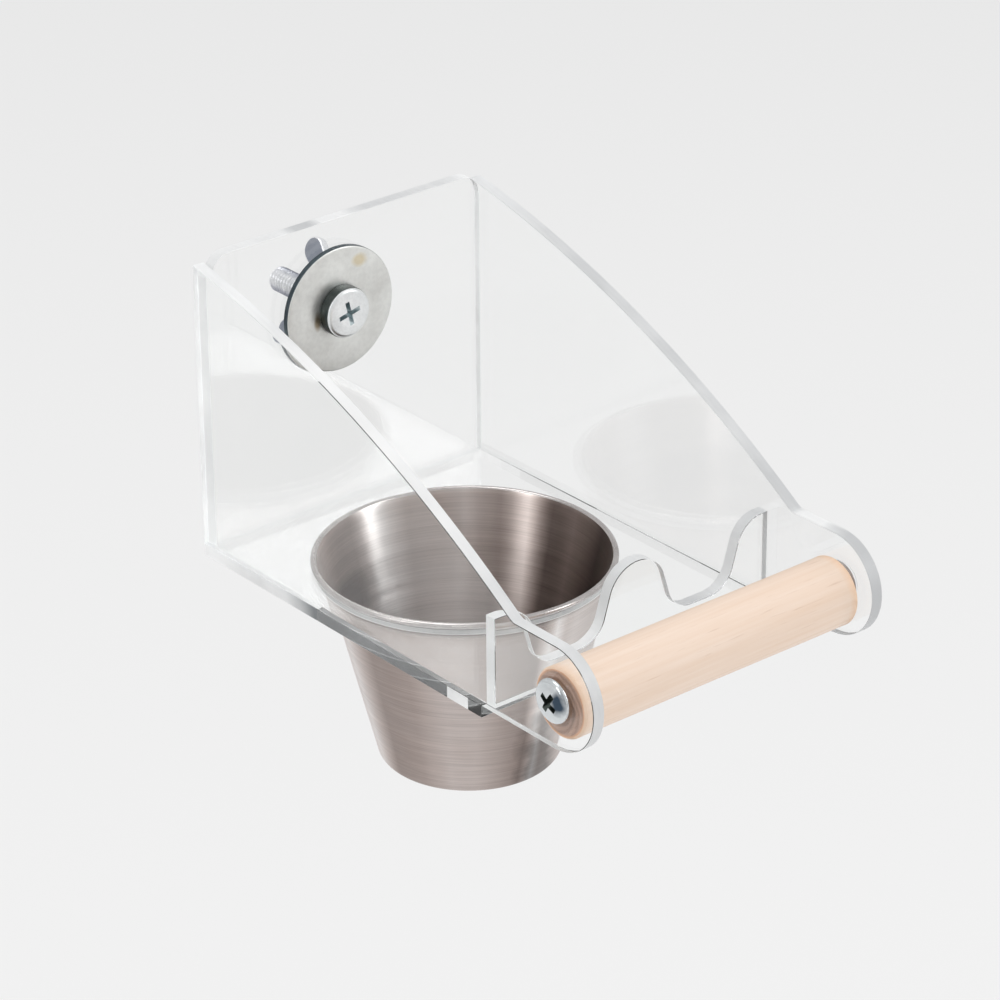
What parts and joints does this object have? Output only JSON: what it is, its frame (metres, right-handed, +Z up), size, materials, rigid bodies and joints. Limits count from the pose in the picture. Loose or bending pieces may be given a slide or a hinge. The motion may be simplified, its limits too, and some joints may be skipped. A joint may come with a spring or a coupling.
{
  "type": "cage seed cup with perch",
  "caption": "Clear feeder housing with a lift-out steel seed cup, a wooden perch and a scalloped front guard, clamped to cage wires by a bolt and wing nut.",
  "frame": {"origin": "on the mounting bolt's axis, at the rear face of the back plate, where the cage's wires are clamped", "axes": "+X to the feeder's right as seen from the front, +Y back into the cage wires along the bolt, +Z up"},
  "size_m": [0.0864, 0.1553, 0.1199],
  "materials": {
    "clear_sheet": "clear polished acrylic",
    "birch": "plain turned dowel",
    "screw_chrome": "bright plated",
    "cup_steel": "brushed round the axis",
    "zinc_steel": "mottled bright zinc"
  },
  "bodies": {
    "housing": {"base_plate": "clear_sheet", "left_side_panel": "clear_sheet", "right_side_panel": "clear_sheet", "back_plate": "clear_sheet", "front_guard": "clear_sheet", "perch": "birch", "left_perch_screw": "screw_chrome", "right_perch_screw": "screw_chrome"},
    "cup": {"seed_cup": "cup_steel"},
    "bolt": {"mounting_bolt": "zinc_steel", "front_washer": "zinc_steel"},
    "nut": {"wing_nut": "zinc_steel"}
  },
  "joints": [
    {"name": "cup_lift", "type": "slide", "parent": "housing", "child": "cup", "axis": [0, 0, 1], "range_m": [0, 0.125]},
    {"name": "bolt_turn", "type": "hinge", "parent": "housing", "child": "bolt", "pos_m": [0, 0, 0], "axis": [0, -1, 0], "range_deg": [0, 5040]},
    {"name": "nut_travel", "type": "slide", "parent": "housing", "child": "nut", "axis": [0, 1, 0], "range_m": [0, 0.014]}
  ],
  "couplings": [
    {"joint": "nut_travel", "follows": "bolt_turn", "m_per_rad": 0.00015915}
  ]
}
